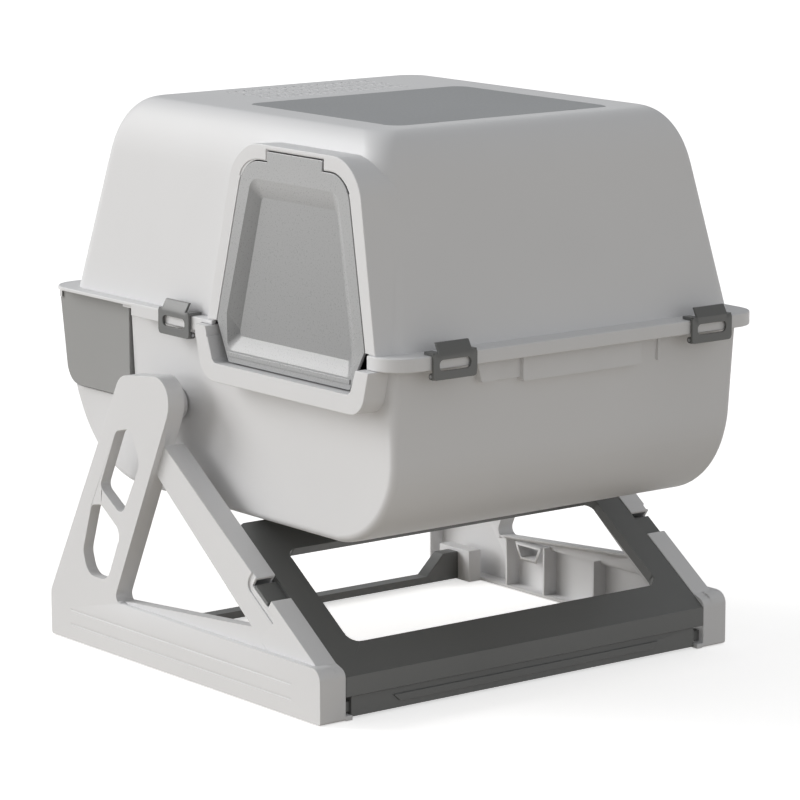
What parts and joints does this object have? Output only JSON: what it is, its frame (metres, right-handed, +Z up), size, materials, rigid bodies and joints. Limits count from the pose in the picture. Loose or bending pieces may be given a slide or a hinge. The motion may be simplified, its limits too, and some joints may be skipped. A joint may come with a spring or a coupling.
{
  "type": "drawer litter box",
  "caption": "Roll-over cat litter box: hooded drum with swing flap and skylight, waste drawer at its back, clips at its rim, turning between A-shaped side panels.",
  "frame": {"origin": "centre of the bounding box, on the floor", "axes": "+X along the roll axis away from the door, +Y to the back where the drawer is, +Z up"},
  "size_m": [0.5, 0.5624, 0.537],
  "materials": {
    "white_pp": "white moulded polypropylene, fine matt texture",
    "dark_pp": "dark grey moulded polypropylene, satin",
    "grey_pp": "mid grey moulded polypropylene, satin",
    "smoke_flap": "cloudy grey see-through plastic",
    "smoke_pane": "smoky grey see-through plastic",
    "steel": "zinc-plated steel",
    "pom": "natural acetal",
    "rubber": "soft black rubber",
    "charcoal": "open-cell foam with charcoal"
  },
  "bodies": {
    "stand": {"door_side_panel": "white_pp", "far_side_panel": "white_pp", "front_frame": "dark_pp", "front_rail": "dark_pp", "rear_bar": "dark_pp", "frame_screws": "steel", "rubber_pads": "rubber", "rest_pads": "rubber", "door_side_bush": "pom", "far_side_bush": "pom"},
    "drum": {"door_side_hub": "white_pp", "far_side_hub": "white_pp", "hub_screws": "steel", "tub": "white_pp", "hood": "white_pp", "skylight": "smoke_pane", "flap_pin": "steel", "clip_pins": "steel", "sieve": "white_pp", "sieve_screws": "steel", "filter_tray": "white_pp", "charcoal_filter": "charcoal"},
    "flap": {"door_flap": "smoke_flap"},
    "waste_drawer": {"drawer": "grey_pp"},
    "clip_front_left": {"front_clip_left": "dark_pp"},
    "clip_front_right": {"front_clip_right": "dark_pp"},
    "clip_door_end": {"door_end_clip": "dark_pp"},
    "clip_far_end": {"far_end_clip": "dark_pp"}
  },
  "joints": [
    {"name": "drum_roll", "type": "hinge", "parent": "stand", "child": "drum", "pos_m": [0, 0.07795, 0.254], "axis": [-1, 0, 0], "range_deg": [0, 105]},
    {"name": "flap_swing", "type": "hinge", "parent": "drum", "child": "flap", "pos_m": [-0.2105, -0.12, 0.5057], "axis": [0, 1, 0], "range_deg": [-50, 60]},
    {"name": "drawer_slide", "type": "slide", "parent": "drum", "child": "waste_drawer", "axis": [0, 1, 0], "range_m": [0, 0.13]},
    {"name": "front_left_clip_turn", "type": "hinge", "parent": "drum", "child": "clip_front_left", "pos_m": [-0.155, -0.27535, 0.3265], "axis": [1, 0, 0], "range_deg": [0, 90]},
    {"name": "front_right_clip_turn", "type": "hinge", "parent": "drum", "child": "clip_front_right", "pos_m": [0.155, -0.27535, 0.3265], "axis": [1, 0, 0], "range_deg": [0, 90]},
    {"name": "door_end_clip_turn", "type": "hinge", "parent": "drum", "child": "clip_door_end", "pos_m": [-0.2206, 0.05675, 0.3265], "axis": [0, -1, 0], "range_deg": [0, 90]},
    {"name": "far_end_clip_turn", "type": "hinge", "parent": "drum", "child": "clip_far_end", "pos_m": [0.2206, 0.05675, 0.3265], "axis": [0, 1, 0], "range_deg": [0, 90]}
  ]
}
